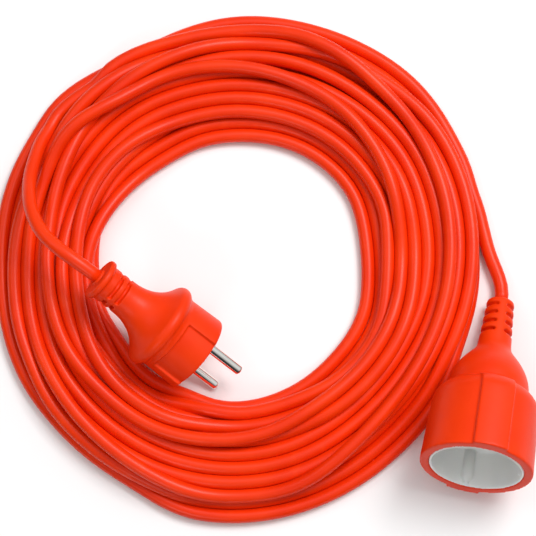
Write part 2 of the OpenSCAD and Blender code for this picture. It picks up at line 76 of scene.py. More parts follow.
def _noise(tree: bpy.types.NodeTree, vector: bpy.types.NodeSocket, scale: float, detail: float,
           roughness: float = 0.5) -> bpy.types.Node:
    """Places a noise texture.

    Args:
        tree: The node tree.
        vector: The socket with the coordinates.
        scale: The texture's scale.
        detail: The number of finer octaves.
        roughness: How strong the finer octaves are.

    Returns:
        The texture's node.
    """
    node = tree.nodes.new("ShaderNodeTexNoise")
    for label, value in (("Scale", scale), ("Detail", detail), ("Roughness", roughness)):
        node.inputs[label].default_value = value
    tree.links.new(vector, node.inputs["Vector"])
    return node


def _mix(tree: bpy.types.NodeTree, mask: bpy.types.NodeSocket, a: Colour | bpy.types.NodeSocket,
         b: Colour) -> bpy.types.NodeSocket:
    """Mixes a colour, or a colour socket, towards another colour by a mask.

    Args:
        tree: The node tree.
        mask: The socket with the share of the second colour.
        a: The first colour, or a socket.
        b: The second colour.

    Returns:
        The mixed colour's socket.
    """
    node = tree.nodes.new("ShaderNodeMix")
    node.data_type = "RGBA"
    tree.links.new(mask, node.inputs["Factor"])
    if isinstance(a, bpy.types.NodeSocket):
        tree.links.new(a, node.inputs[6])
    else:
        node.inputs[6].default_value = (*a, 1)
    node.inputs[7].default_value = (*b, 1)
    return node.outputs[2]


def _span(tree: bpy.types.NodeTree, value: bpy.types.NodeSocket, low: float, high: float,
          start: float = 0.0, stop: float = 1.0) -> bpy.types.NodeSocket:
    """Maps one range of values onto another.

    Args:
        tree: The node tree.
        value: The socket to map.
        low: The result at start.
        high: The result at stop.
        start: The value that gives the low result.
        stop: The value that gives the high result.

    Returns:
        The mapped value's socket.
    """
    node = tree.nodes.new("ShaderNodeMapRange")
    ends = (("From Min", start), ("From Max", stop), ("To Min", low), ("To Max", high))
    for label, number in ends:
        node.inputs[label].default_value = number
    tree.links.new(value, node.inputs["Value"])
    return node.outputs["Result"]


# ---------------------------------------------------------------- shader groups


class ShaderGroup:
    """A shader node group that is built once and then shared by the materials."""

    NAME = ""
    OUTPUTS: tuple[tuple[str, str], ...] = ()

    @classmethod
    def get(cls) -> bpy.types.NodeTree:
        """Finds the group, or builds it the first time.

        Returns:
            The group.
        """
        tree = bpy.data.node_groups.get(cls.NAME)
        if tree is None:
            tree = bpy.data.node_groups.new(cls.NAME, "ShaderNodeTree")
            for label, kind in cls.OUTPUTS:
                tree.interface.new_socket(label, in_out="OUTPUT", socket_type="NodeSocket" + kind)
            cls.wire(tree)
        return tree

    @classmethod
    def placed(cls, tree: bpy.types.NodeTree) -> bpy.types.Node:
        """Places the group in a material's tree.

        Args:
            tree: The material's node tree.

        Returns:
            The new group node.
        """
        node = tree.nodes.new("ShaderNodeGroup")
        node.node_tree = cls.get()
        return node

    @classmethod
    def wire(cls, tree: bpy.types.NodeTree) -> None:
        """Makes the nodes in the group.

        Args:
            tree: The group's tree, with its output sockets.
        """
        raise NotImplementedError


class GrainGroup(ShaderGroup):
    """The fine skin of a moulded or drawn surface: a tone, a roughness and a bumped normal."""

    NAME = "moulded_grain"
    OUTPUTS = (("Tone", "Float"), ("Rough", "Float"), ("Normal", "Vector"))
    INPUTS = (("Scale", 900.0), ("Depth", 0.1))
    CLOUD_SCALE = 38.0
    CLOUD_EDGES = (0.32, 0.68)
    RIPPLE_SCALE = 130.0
    RIPPLE_SHARE = 0.55
    BUMP_HEIGHT = 0.0002

    @classmethod
    def wire(cls, tree: bpy.types.NodeTree) -> None:
        """Makes the nodes, with Vector, Scale and Depth in.

        Args:
            tree: The group's tree, with its output sockets.
        """
        tree.interface.new_socket("Vector", in_out="INPUT", socket_type="NodeSocketVector")
        for label, value in cls.INPUTS:
            made = tree.interface.new_socket(label, in_out="INPUT", socket_type="NodeSocketFloat")
            made.default_value = value
        n, link = tree.nodes, tree.links.new
        source, sink = n.new("NodeGroupInput"), n.new("NodeGroupOutput")
        vector = source.outputs["Vector"]
        cloud = _noise(tree, vector, cls.CLOUD_SCALE, 3.0)
        ripple = _noise(tree, vector, cls.RIPPLE_SCALE, 1.0)
        fine = _noise(tree, vector, 1.0, 4.0, 0.62)
        link(source.outputs["Scale"], fine.inputs["Scale"])
        both = n.new("ShaderNodeMath")
        both.operation = "MULTIPLY_ADD"
        both.inputs[1].default_value = cls.RIPPLE_SHARE
        link(ripple.outputs["Fac"], both.inputs[0])
        link(fine.outputs["Fac"], both.inputs[2])
        bump = n.new("ShaderNodeBump")
        bump.inputs["Distance"].default_value = cls.BUMP_HEIGHT
        link(source.outputs["Depth"], bump.inputs["Strength"])
        link(both.outputs["Value"], bump.inputs["Height"])
        link(_span(tree, cloud.outputs["Fac"], 0, 1, *cls.CLOUD_EDGES), sink.inputs["Tone"])
        link(fine.outputs["Fac"], sink.inputs["Rough"])
        link(bump.outputs["Normal"], sink.inputs["Normal"])


class SheenShadeGroup(ShaderGroup):
    """Masks of a painted highlight on the edges and painted shade in the hollows, from the
    surface's curvature.
    """

    NAME = "painted_edge_sheen_hollow_shade"
    OUTPUTS = (("Edge", "Float"), ("Hollow", "Float"))
    # Edge lightens convex edges as a painted highlight; Hollow darkens hollows as painted shade.
    CURVATURES = (("Edge", 0.54, 0.66), ("Hollow", 0.47, 0.38))

    @classmethod
    def wire(cls, tree: bpy.types.NodeTree) -> None:
        """Makes the nodes.

        Args:
            tree: The group's tree, with its output sockets.
        """
        sink, geo = tree.nodes.new("NodeGroupOutput"), tree.nodes.new("ShaderNodeNewGeometry")
        for label, start, stop in cls.CURVATURES:
            mask = _span(tree, geo.outputs["Pointiness"], 0, 1, start, stop)
            tree.links.new(mask, sink.inputs[label])


# ---------------------------------------------------------------- finishes


@dataclass(frozen=True)
class Draft:
    """A material that is being made."""

    material: bpy.types.Material
    coords: bpy.types.Node
    grain: bpy.types.Node
    base: bpy.types.NodeSocket

    @property
    def tree(self) -> bpy.types.NodeTree:
        """The material's node tree."""
        return self.material.node_tree

    @property
    def shader(self) -> bpy.types.Node:
        """The material's shader."""
        return self.tree.nodes["Principled BSDF"]

    def finished(self, **sockets: bpy.types.NodeSocket) -> bpy.types.Material:
        """Links the shader's inputs.

        Args:
            **sockets: What goes to each input, by the input's name with _ for a space.

        Returns:
            The material.
        """
        for label, socket in sockets.items():
            self.tree.links.new(socket, self.shader.inputs[label.replace("_", " ")])
        return self.material


@dataclass(frozen=True)
class Finish:
    """A grained surface whose colour drifts between two near tones."""

    name: str
    colour: Colour
    deep: Colour

    def draft(self, scale: float, depth: float) -> Draft:
        """Starts the material.

        Args:
            scale: The scale of the grain.
            depth: The strength of the grain's bump.

        Returns:
            The material so far.
        """
        made = bpy.data.materials.new(self.name)
        made.use_nodes = True
        tree = made.node_tree
        coords, grain = tree.nodes.new("ShaderNodeTexCoord"), GrainGroup.placed(tree)
        grain.inputs["Scale"].default_value = scale
        grain.inputs["Depth"].default_value = depth
        tree.links.new(coords.outputs["Object"], grain.inputs["Vector"])
        base = _mix(tree, grain.outputs["Tone"], self.deep, self.colour)
        return Draft(made, coords, grain, base)


@dataclass(frozen=True)
class MouldedPlastic(Finish):
    """A moulded plastic or PVC skin, with a painted highlight on its edges and painted shade in its
    hollows.
    """

    # The colour of the painted highlight on the convex edges.
    painted_sheen: Colour
    rough: Span = (0.34, 0.5)
    grain: float = 900.0
    depth: float = 0.12
    shine: float = 0.45
    glow: float = 0.0
    # How strongly the painted highlight lightens the edges.
    sheen_share: float = 0.45
    # The share of the painted shade in the hollows, and how dark that painted shade is against the
    # deep tone.
    hollow_shade_share: float = 0.55
    hollow_shade_factor: float = 0.5
    glow_radius: Colour = (1.0, 0.35, 0.2)
    glow_scale: float = 0.0015

    def material(self) -> bpy.types.Material:
        """Makes the material.

        Returns:
            The material.
        """
        draft = self.draft(self.grain, self.depth)
        tree, shader = draft.tree, draft.shader
        painted_masks = SheenShadeGroup.placed(tree)
        # Paints a highlight on the convex edges by mixing towards the lighter edge colour.
        sheened = _mix(tree, _span(tree, painted_masks.outputs["Edge"], 0, self.sheen_share), draft.base, self.painted_sheen)
        # Paints shade into the hollows: the deep tone, darkened, mixed in where the surface curves
        # inwards.
        shade = tuple(c * self.hollow_shade_factor for c in self.deep)
        hollow_shaded = _mix(tree, _span(tree, painted_masks.outputs["Hollow"], 0, self.hollow_shade_share), sheened, shade)
        shader.inputs["Specular IOR Level"].default_value = self.shine
        if self.glow:
            shader.inputs["Subsurface Weight"].default_value = self.glow
            shader.inputs["Subsurface Radius"].default_value = self.glow_radius
            shader.inputs["Subsurface Scale"].default_value = self.glow_scale
        return draft.finished(Base_Color=hollow_shaded, Normal=draft.grain.outputs["Normal"],
                              Roughness=_span(tree, draft.grain.outputs["Rough"], *self.rough))


@dataclass(frozen=True)
class ExtrudedSheath(Finish):
    """The cord's PVC sheath, with fine draw lines along it and scuffs."""

    scuff: Colour
    rough: Span = (0.27, 0.4)
    shine: float = 0.22
    grain: float = 700.0
    depth: float = 0.08
    line_stretch: tuple[float, float, float] = (9.0, 26.0, 1.0)
    line_depth: float = 0.12
    line_height: float = 0.0002
    scuff_scale: float = 55.0
    scuff_edges: Span = (0.58, 0.72)
    scuff_share: float = 0.35

    def material(self) -> bpy.types.Material:
        """Makes the material; u of the piece's UV map goes along the cord in metres.

        Returns:
            The material.
        """
        draft = self.draft(self.grain, self.depth)
        tree, shader, coords = draft.tree, draft.shader, draft.coords
        link = tree.links.new
        shader.inputs["Specular IOR Level"].default_value = self.shine
        stretch = tree.nodes.new("ShaderNodeMapping")
        stretch.inputs["Scale"].default_value = self.line_stretch
        link(coords.outputs["UV"], stretch.inputs["Vector"])
        lines = _noise(tree, stretch.outputs["Vector"], 1.0, 3.0)
        scuffs = _noise(tree, coords.outputs["Object"], self.scuff_scale, 6.0, 0.7)
        mask = _span(tree, scuffs.outputs["Fac"], 0, self.scuff_share, *self.scuff_edges)
        bump = tree.nodes.new("ShaderNodeBump")
        bump.inputs["Strength"].default_value = self.line_depth
        bump.inputs["Distance"].default_value = self.line_height
        link(lines.outputs["Fac"], bump.inputs["Height"])
        link(draft.grain.outputs["Normal"], bump.inputs["Normal"])
        return draft.finished(Base_Color=_mix(tree, mask, draft.base, self.scuff),
                              Normal=bump.outputs["Normal"],
                              Roughness=_span(tree, lines.outputs["Fac"], *self.rough))


@dataclass(frozen=True)
class PlatedMetal(Finish):
    """A plated, drawn or stamped metal."""

    rough: Span = (0.08, 0.22)
    grain: float = 2600.0
    depth: float = 0.02

    def material(self) -> bpy.types.Material:
        """Makes the material.

        Returns:
            The material.
        """
        draft = self.draft(self.grain, self.depth)
        draft.shader.inputs["Metallic"].default_value = 1.0
        rough = _span(draft.tree, draft.grain.outputs["Rough"], *self.rough)
        return draft.finished(Base_Color=draft.base, Roughness=rough,
                              Normal=draft.grain.outputs["Normal"])


class Palette:
    """Every finish of the set, made once and handed out by slot."""

    FINISHES = {
        # The third colour of each MouldedPlastic is its painted edge highlight.
        Slot.PVC: MouldedPlastic(
            "orange_moulding", (0.87, 0.043, 0.0015), (0.8, 0.032, 0.0008), (0.92, 0.07, 0.007),
            rough=(0.32, 0.46), grain=1100.0, depth=0.1, shine=0.18),
        Slot.CORD: ExtrudedSheath(
            "orange_sheath", (0.87, 0.04, 0.0015), (0.77, 0.027, 0.0008), (0.9, 0.065, 0.008)),
        Slot.WHITE: MouldedPlastic(
            "off_white_moulding", (0.87, 0.87, 0.85), (0.82, 0.82, 0.8), (0.92, 0.92, 0.91),
            rough=(0.26, 0.42), grain=1500.0, depth=0.06, glow=0.1),
        Slot.GREY: MouldedPlastic(
            "grey_moulding", (0.17, 0.18, 0.2), (0.12, 0.125, 0.14), (0.3, 0.3, 0.32)),
        Slot.NICKEL: PlatedMetal(
            "nickel_plating", (0.95, 0.93, 0.89), (0.86, 0.84, 0.8), rough=(0.04, 0.12)),
        Slot.BRASS: PlatedMetal(
            "drawn_brass", (0.83, 0.62, 0.24), (0.62, 0.42, 0.14), rough=(0.2, 0.36)),
        Slot.SPRING: PlatedMetal(
            "spring_wire", (0.56, 0.57, 0.58), (0.4, 0.41, 0.42), rough=(0.22, 0.4)),
        Slot.TIN: PlatedMetal(
            "tinned_copper", (0.72, 0.72, 0.7), (0.5, 0.5, 0.48), rough=(0.3, 0.5)),
        Slot.BLUE: MouldedPlastic(
            "blue_insulation", (0.02, 0.09, 0.5), (0.01, 0.05, 0.32), (0.1, 0.2, 0.6)),
        Slot.BROWN: MouldedPlastic(
            "brown_insulation", (0.16, 0.06, 0.025), (0.09, 0.035, 0.015), (0.28, 0.12, 0.06)),
    }

    def __init__(self) -> None:
        """Makes every finish."""
        self._made = {slot: finish.material() for slot, finish in self.FINISHES.items()}

    def dress(self, obj: bpy.types.Object, slot: Slot) -> bpy.types.Object:
        """Gives a piece the finish of its slot.

        Args:
            obj: The piece.
            slot: The record's slot.

        Returns:
            The same piece.
        """
        obj.data.materials.clear()
        obj.data.materials.append(self._made[slot])
        return obj


# ---------------------------------------------------------------- shared making


@dataclass(frozen=True)
class Seat:
    """Where a moulding's own axis stands: its start and its three directions."""

    at: Vector
    turn: Matrix

    @classmethod
    def of(cls, at: Point, angles: Point, roll: float) -> "Seat":
        """Makes a seat.

        Args:
            at: The start of the axis, in millimetres.
            angles: The turns about X, Y and Z, in degrees.
            roll: The turn about the moulding's own axis, in degrees.

        Returns:
            The seat.
        """
        x, y, z = (math.radians(a) for a in angles)
        turn = Matrix.Rotation(z, 4, "Z") @ Matrix.Rotation(y, 4, "Y") @ Matrix.Rotation(x, 4, "X")
        return cls(Vector(at) * MM, turn @ Matrix.Rotation(math.radians(roll), 4, "Z"))

    def matrix(self) -> Matrix:
        """The matrix from the moulding's frame, in metres, to the row frame."""
        return Matrix.Translation(self.at) @ self.turn

    def axis(self) -> Vector:
        """The direction of the moulding's axis."""
        return (self.turn.to_3x3() @ Vector((0, 0, 1))).normalized()


def piece(name: str, bm: bmesh.types.BMesh) -> bpy.types.Object:
    """Turns a bmesh into a smooth piece that rides on the root body.

    Args:
        name: The piece's name.
        bm: The mesh, in the row frame; it is freed.

    Returns:
        The piece.
    """
    mesh = bpy.data.meshes.new(name)
    bm.to_mesh(mesh)
    bm.free()
    obj = bpy.data.objects.new(name, mesh)
    bpy.context.scene.collection.objects.link(obj)
    mesh.shade_smooth()
    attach(obj, "root")
    return obj


def turned(profile: list[tuple[float, float]], steps: int, ring: bool) -> bmesh.types.BMesh:
    """Spins a profile round the Z axis.

    Args:
        profile: The (radius, height) points in millimetres, from the axis out and back to it.
        steps: The number of steps of the turn.
        ring: Whether the profile closes on itself instead, as a ring's section does.

    Returns:
        The turned solid's bmesh, in metres, with its faces outwards.
    """
    bm = bmesh.new()
    verts = [bm.verts.new((r * MM, 0, z * MM)) for r, z in profile]
    ends = verts[1:] + verts[:1] if ring else verts[1:]
    edges = [bm.edges.new(pair) for pair in zip(verts, ends)]
    bmesh.ops.spin(bm, geom=verts + edges, cent=(0, 0, 0), axis=(0, 0, 1), angle=math.tau,
                   steps=steps, use_merge=True, use_duplicate=False)
    bmesh.ops.remove_doubles(bm, verts=bm.verts, dist=1e-6)
    bmesh.ops.recalc_face_normals(bm, faces=bm.faces)
    return bm


@dataclass(frozen=True)
class CordBead:
    """The moulded bead where the cord leaves a moulding."""

    name: str
    bulge: float
    cord_r: float = 3.2
    grip: float = 0.1
    sunk: float = 0.3
    steps: int = 72

    def build(self, seat: Seat) -> bpy.types.Object:
        """Makes the bead.

        Args:
            seat: The moulding's seat, at whose start the cord leaves.

        Returns:
            The bead.
        """
        r, b = self.cord_r, self.bulge
        section = [(r - self.grip, self.sunk), (r - self.grip, -b), (r + 0.35 * b, -b),
                   (r + b, -0.35 * b), (r + 1.25 * b, self.sunk)]
        bm = turned(section, self.steps, True)
        bmesh.ops.transform(bm, matrix=seat.matrix(), verts=bm.verts)
        return piece(self.name, bm)


def dress_nodes(palette: Palette, plan: dict[Slot, tuple[str, ...]]) -> list[bpy.types.Object]:
    """Dresses CAD nodes.

    Args:
        palette: The finishes.
        plan: The names of the nodes by slot.

    Returns:
        The nodes' objects.
    """
    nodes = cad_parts
    return [palette.dress(nodes[name], slot) for slot, names in plan.items() for name in names]


@dataclass
class Moulding:
    """A moulded body on one end of the cord.

    The cord leaves it at the neck, in millimetres. The angles turn its axis about X, Y and Z, and
    the roll turns the body about that axis, in degrees. The outline is rough: stations along the
    axis, and a generous radius at each, which keep the cord clear of the body.
    """

    neck: Point = (0.0, 0.0, 0.0)
    angles: Point = (0.0, 0.0, 0.0)
    roll: float = 0.0
    outline: tuple[tuple[float, ...], tuple[float, ...]] = ((0,), (0,))
    seat: Seat = field(init=False)

    def __post_init__(self) -> None:
        """Works out where the body's axis stands."""
        self.seat = Seat.of(self.neck, self.angles, self.roll)


def softened(node: str, name: str, voxel: float, passes: int) -> bpy.types.Object:
    """Makes a moulding with soft edges that stands for a CAD node.

    Args:
        node: The CAD node.
        name: The new piece's name.
        voxel: The size of the even mesh's cells, in millimetres.
        passes: The number of smoothing passes that round its edges.

    Returns:
        The piece, riding on the root body.
    """
    bm = bmesh.new()
    bm.from_mesh(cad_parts[node].data)
    bmesh.ops.remove_doubles(bm, verts=bm.verts, dist=2e-6)
    rough = bpy.data.objects.new(name + "_rough", bpy.data.meshes.new(name + "_rough"))
    bm.to_mesh(rough.data)
    bm.free()
    bpy.context.scene.collection.objects.link(rough)
    even = rough.modifiers.new("even", "REMESH")
    even.mode = "VOXEL"
    even.voxel_size = voxel * MM
    shown = rough.evaluated_get(bpy.context.evaluated_depsgraph_get())
    bm = bmesh.new()
    bm.from_mesh(shown.to_mesh())
    shown.to_mesh_clear()
    bpy.data.objects.remove(rough)
    for _ in range(passes):
        bmesh.ops.smooth_vert(bm, verts=bm.verts, factor=0.5,
                              use_axis_x=True, use_axis_y=True, use_axis_z=True)
    made = piece(name, bm)
    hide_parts(node)
    LOG.info("%s: %d faces", name, len(made.data.polygons))
    return made


# ---------------------------------------------------------------- cord


@dataclass(frozen=True)
class Join:
    """How the turns blend into an uncoiled stretch, in points of the line.

    The stretch's first `loose` points next to the turns may move, the turns' first `wary` points
    move less than freely, and `ease` says how many points are rounded off on the stretch's side and
    on the turns' side. A power under 1 keeps the points free for longer.
    """

    loose: int
    wary: int
    ease: tuple[int, int]
    power: float = 1.0


@dataclass
class CordLay:
    """Lays the cord's turns in their lanes, lets them settle on each other, and gives the line."""

    diameter: float = 6.4
    middle: tuple[float, float] = (-110.0, 61.0)
    # The radius of the innermost and outermost lane at 0, 45, 90 ... 315 degrees.
    inner: tuple[float, ...] = (69, 69.5, 69, 68, 70.5, 71.5, 69.5, 69)
    outer: tuple[float, ...] = (113.5, 117, 112, 108.5, 101.5, 106, 109.5, 106.5)
    lanes: float = 8.0
    # The lane of each turn at 0, 90, 180 and 270 degrees, from the socket to the plug.
    turns: tuple[tuple[float, float, float, float], ...] = (
        (8.0, 8.0, 7.8, 7.6), (7.0, 6.8, 6.6, 6.4), (6.0, 5.8, 5.6, 5.4), (5.0, 4.8, 4.6, 4.4),
        (4.0, 3.8, 3.6, 3.4), (3.0, 2.8, 2.6, 2.4), (2.1, 1.9, 1.7, 1.5), (1.2, 0.9, 0.6, 0.3),
        (0.0, 0.0, 0.2, 0.8), (1.4, 1.6, 1.7, 1.8), (2.1, 2.3, 2.6, 2.8), (2.6, 3.3, 4.4, 3.8),
        (3.6, 4.4, 5.6, 5.2), (4.8, 6.0, 6.8, 6.8), (6.2, 7.0, 7.2, 7.8), (7.4, 7.0, 4.4, 2.6),
        (1.6, 4.6, 6.6, 6.8), (5.6, 8.0, 8.0, 8.0),
    )
    # The plan: the first turn's height, the rise per turn, the angle left open at both joins, the
    # angle between the coil's points, and the points read for each point of an uncoiled stretch.
    bottom: float = 3.3
    rise: float = 5.0
    lead: float = 12.0
    turn_step: float = 2.0
    samples: int = 12
    # The distance between the line's points.
    step: float = 4.2
    # The fall: its rounds, the drop and the share of the pull to the lanes in each, the passes of
    # contact in each, and the shares of the rounds at which the last turn and the plug count, the
    # fall slows, and the joins are rounded.
    rounds: int = 460
    fall: float = 0.45
    pull: float = 0.03
    passes: int = 4
    plug_from: float = 0.5
    slow_from: float = 0.7
    slowest: float = 0.1
    round_at: float = 0.82
    # The contact: how often near pairs are looked for and how near they are, the neighbours along
    # the cord that are left out, in diameters, the over-relaxation, and the air over the floor and
    # round the mouldings.
    search_every: int = 6
    reach: float = 15.0
    own_reach: float = 2.5
    relax: float = 1.25
    floor_air: float = 0.02
    air: float = 0.3
    # The joins: the blur of the freedom, both joins, and the times and passes of their rounding.
    fade: int = 9
    socket_join: Join = Join(loose=8, wary=10, ease=(14, 12))
    plug_join: Join = Join(loose=15, wary=8, ease=(24, 14), power=0.7)
    round_times: int = 3
    round_passes: int = 16
    # Of each late smoothing, the share that is taken back, so that the turns don't draw in.
    give_back: float = 0.97
    # The uncoiled stretches, as in the CAD.
    socket_tail: tuple[Point, ...] = (
        (13.7, 43.6, 6.124), (14.2635, 46.3697, 5.1185), (14.4, 51, 4.1), (12.9, 58, 3.6),
        (9.8, 65, 3.5), (5.3, 73.5, 3.5), (-0.5, 83, 3.6), (-6, 93, 4), (-11, 103, 5),
    )
    plug_tail: tuple[Point, ...] = (
        (-171.412, 49.7601, 38.1975), (-175.163, 52.485, 40.0705), (-182.5, 57.5, 42.4),
        (-190.5, 63.5, 42), (-198, 71, 39), (-203.5, 80.5, 34.5), (-206.5, 91, 29.5),
        (-207, 101.5, 25.5), (-204.5, 112, 22.5), (-199.5, 121.5, 20), (-192, 130, 17),
        (-183, 137, 13.5),
    )

    @staticmethod
    def through(values: np.ndarray, x: np.ndarray, closed: bool = False) -> np.ndarray:
        """Reads a smooth curve that passes through evenly spaced values.

        Args:
            values: The values, one or more columns.
            x: The places to read, counted in values.
            closed: Whether the last value leads back to the first.

        Returns:
            The curve's values at x.
        """
        v = np.asarray(values, float)
        i = np.floor(x).astype(int)
        around = (-1, 0, 1, 2)
        if closed:
            p, q, r, s = (v[(i + k) % len(v)] for k in around)
        else:
            i = np.clip(i, 0, len(v) - 2)
            p, q, r, s = (v[np.clip(i + k, 0, len(v) - 1)] for k in around)
        t = x - i
        if v.ndim > 1:
            t = t[:, None]
        square, cube = 2 * p - 5 * q + 4 * r - s, 3 * q - p - 3 * r + s
        return 0.5 * (2 * q + (r - p) * t + square * t**2 + cube * t**3)

    @staticmethod
    def even(points: np.ndarray, step: float) -> np.ndarray:
        """Spaces a line's points evenly.

        Args:
            points: The points, with x, y and z in the first three columns.
            step: The wanted distance between points.

        Returns:
            The new points.
        """
        along = np.r_[0, np.cumsum(np.linalg.norm(np.diff(points[:, :3], axis=0), axis=1))]
        at = np.linspace(0, along[-1], int(round(along[-1] / step)) + 1)
        return np.stack([np.interp(at, along, points[:, k]) for k in range(points.shape[1])], 1)

    @staticmethod
    def blurred(values: np.ndarray, times: int) -> np.ndarray:
        """Smooths values along the cord, with its ends kept.

        Args:
            values: The values.
            times: The number of passes.

        Returns:
            The smoothed copy.
        """
        v = values.copy()
        for _ in range(times):
            v[1:-1] = 0.25 * v[:-2] + 0.5 * v[1:-1] + 0.25 * v[2:]
        return v

    def planned(self) -> tuple[np.ndarray, np.ndarray]:
        """Puts each turn in its lanes, one above the other, between the two uncoiled stretches.

        Returns:
            The line's points, and 0, 1 or 2 for the socket's stretch, the turns and the plug's one.
        """
        cx, cy = self.middle
        stretches = (self.socket_tail, self.plug_tail[::-1])
        tails = [self.through(np.array(t), np.linspace(0, len(t) - 1, self.samples * len(t)))
                 for t in stretches]
        lead = math.radians(self.lead)
        leave, join = tails[0][-1], tails[1][0]
        start = math.atan2(leave[1] - cy, leave[0] - cx) + lead
        stop = (len(self.turns) - 1) * math.tau + math.atan2(join[1] - cy, join[0] - cx) - lead
        angle = np.arange(start, stop, math.radians(self.turn_step))
        quarter = angle / (math.pi / 2)
        share = self.through(np.array(self.turns).ravel(), quarter) / self.lanes
        eighth = angle / (math.pi / 4)
        r = self.through(np.array(self.inner), eighth, True) * (1 - share) \
            + self.through(np.array(self.outer), eighth, True) * share
        height = self.bottom + quarter / 4 * self.rise
        coil = np.stack([cx + r * np.cos(angle), cy + r * np.sin(angle), height], 1)
        line = np.concatenate([tails[0], coil, tails[1]])
        kind = np.repeat([0.0, 1.0, 2.0], [len(tails[0]), len(coil), len(tails[1])])
        made = self.even(np.c_[line, kind], self.step)
        return made[:, :3], made[:, 3]

    @staticmethod
    def close_pairs(points: np.ndarray, reach: float, skip: int) -> tuple[np.ndarray, np.ndarray]:
        """Finds stretches of the cord that lie near each other.

        The points are sorted into square cells, and each is compared with those in its own cell and
        in half of the cells round it, so that no pair comes up twice.

        Args:
            points: The line's points.
            reach: How near is near.
            skip: How many neighbours along the cord are left out.

        Returns:
            The two lists of point numbers.
        """
        key = np.floor(points[:, :2] / reach).astype(int)
        key -= key.min(0) - 1
        wide = key[:, 0].max() + 3
        flat = key[:, 1] * wide + key[:, 0]
        order = np.argsort(flat, kind="stable")
        ranked = flat[order]
        first, second = [], []
        for dx, dy in ((0, 0), (1, 0), (0, 1), (1, 1), (-1, 1)):
            target = flat + dy * wide + dx
            low, high = (np.searchsorted(ranked, target, side) for side in ("left", "right"))
            count = high - low
            a = np.repeat(np.arange(len(points)), count)
            within = np.arange(count.sum()) - np.repeat(np.cumsum(count) - count, count)
            b = order[np.repeat(low, count) + within]
            keep = (np.abs(a - b) > skip) & ((a < b) | (dx != 0) | (dy != 0))
            first.append(a[keep])
            second.append(b[keep])
        a, b = np.concatenate(first), np.concatenate(second)
        near = np.linalg.norm(points[a] - points[b], axis=1) < reach
        return a[near], b[near]

    def push_apart(self, p: np.ndarray, i: np.ndarray, j: np.ndarray) -> np.ndarray:
        """Works out how near stretches push each other apart.

        Args:
            p: The line's points.
            i: The first stretch of each near pair.
            j: The second stretch of each near pair.

        Returns:
            Each point's movement.
        """
        u, w, r = p[i + 1] - p[i], p[j + 1] - p[j], p[i] - p[j]
        uu, uw, ww, ur, wr = (np.einsum("ij,ij->i", a, b)
                              for a, b in ((u, u), (u, w), (w, w), (u, r), (w, r)))
        # s and t are the places of the closest points along the two stretches, from 0 to 1
        s = np.clip((uw * wr - ww * ur) / np.maximum(uu * ww - uw * uw, 1e-9), 0, 1)
        t = np.clip((uw * s + wr) / ww, 0, 1)
        s = np.clip((uw * t - ur) / uu, 0, 1)
        d = r + s[:, None] * u - t[:, None] * w
        gap = np.linalg.norm(d, axis=1)
        hit = gap < self.diameter
        i, j, s, t, d, gap = i[hit], j[hit], s[hit], t[hit], d[hit], np.maximum(gap[hit], 1e-6)
        push = ((self.diameter - gap) / gap * 0.5)[:, None] * d
        move, count = np.zeros_like(p), np.zeros(len(p))
        for index, weight, sign in ((i, 1 - s, 1), (i + 1, s, 1), (j, 1 - t, -1), (j + 1, t, -1)):
            for k in range(3):
                move[:, k] += np.bincount(index, sign * weight * push[:, k], len(p))
            count += np.bincount(index, weight, len(p))
        return move / np.maximum(count, 1)[:, None] * self.relax

    def clear_of(self, p: np.ndarray, moulding: "Moulding") -> np.ndarray:
        """Works out how a moulding pushes the cord off its outline.

        Args:
            p: The line's points.
            moulding: The moulding.

        Returns:
            Each point's movement.
        """
        seat, outline = moulding.seat, moulding.outline
        q = p - np.array(seat.at) / MM
        axis = np.array(seat.axis())
        along = q @ axis
        out = q - along[:, None] * axis
        far = np.linalg.norm(out, axis=1)
        need = np.interp(along, *outline) + self.diameter / 2 + self.air
        hit = (along > -1) & (along < outline[0][-1] + 2) & (far < need)
        move = np.zeros_like(p)
        move[hit] = out[hit] * ((need - far) / np.maximum(far, 1e-6))[hit, None]
        return move

    def freedom(self, kind: np.ndarray, end: int, tail: int) -> tuple[np.ndarray, np.ndarray]:
        """Works out how freely each point moves.

        Args:
            kind: 0, 1 or 2 for the socket's stretch, the turns and the plug's stretch.
            end: The last point of the socket's stretch.
            tail: The first point of the plug's stretch.

        Returns:
            The freedom, 1 in the turns and 0 far along both stretches, and how much each point is
            rounded off, both as columns.
        """
        near, far = self.socket_join, self.plug_join
        free = (kind > ON_SOCKET_SIDE) & (kind < ON_PLUG_SIDE)
        free[end - near.loose:end + 1] = True
        free[tail:tail + far.loose] = True
        hold = np.convolve(free.astype(float), np.ones(self.fade) / self.fade, "same") * free
        ramp = np.linspace(1, 0, far.wary + far.loose) ** far.power
        part = slice(tail - far.wary, tail + far.loose)
        hold[part] = np.minimum(hold[part], ramp)
        ramp = np.linspace(0, 1, near.loose + near.wary) ** near.power
        part = slice(end - near.loose, end + near.wary)
        hold[part] = np.minimum(hold[part], ramp)
        ease = np.zeros(len(kind))
        ease[tail - far.ease[1]:tail + far.ease[0]] = np.hanning(sum(far.ease))
        ease[end - near.ease[0]:end + near.ease[1]] = np.hanning(sum(near.ease))
        return hold[:, None], ease[:, None]

    def smoothed(self, p: np.ndarray, home: np.ndarray, hold: np.ndarray, late: bool) -> np.ndarray:
        """Evens out the line after a round.

        Args:
            p: The line's points.
            home: Their planned places.
            hold: Their freedom.
            late: Whether the joins are rounded already. Before that, only the way that the points
                moved is smoothed, and after it the line itself, without drawing its turns in.

        Returns:
            The new points.
        """
        if not late:
            moved = p - home
            soft = np.c_[self.blurred(moved[:, :2], 8), self.blurred(moved[:, 2:], 2)]
            return home + moved + (soft - moved) * hold
        p = p + (self.blurred(p, 4) - p) * hold
        return p - (self.blurred(p, 4) - p) * hold * self.give_back

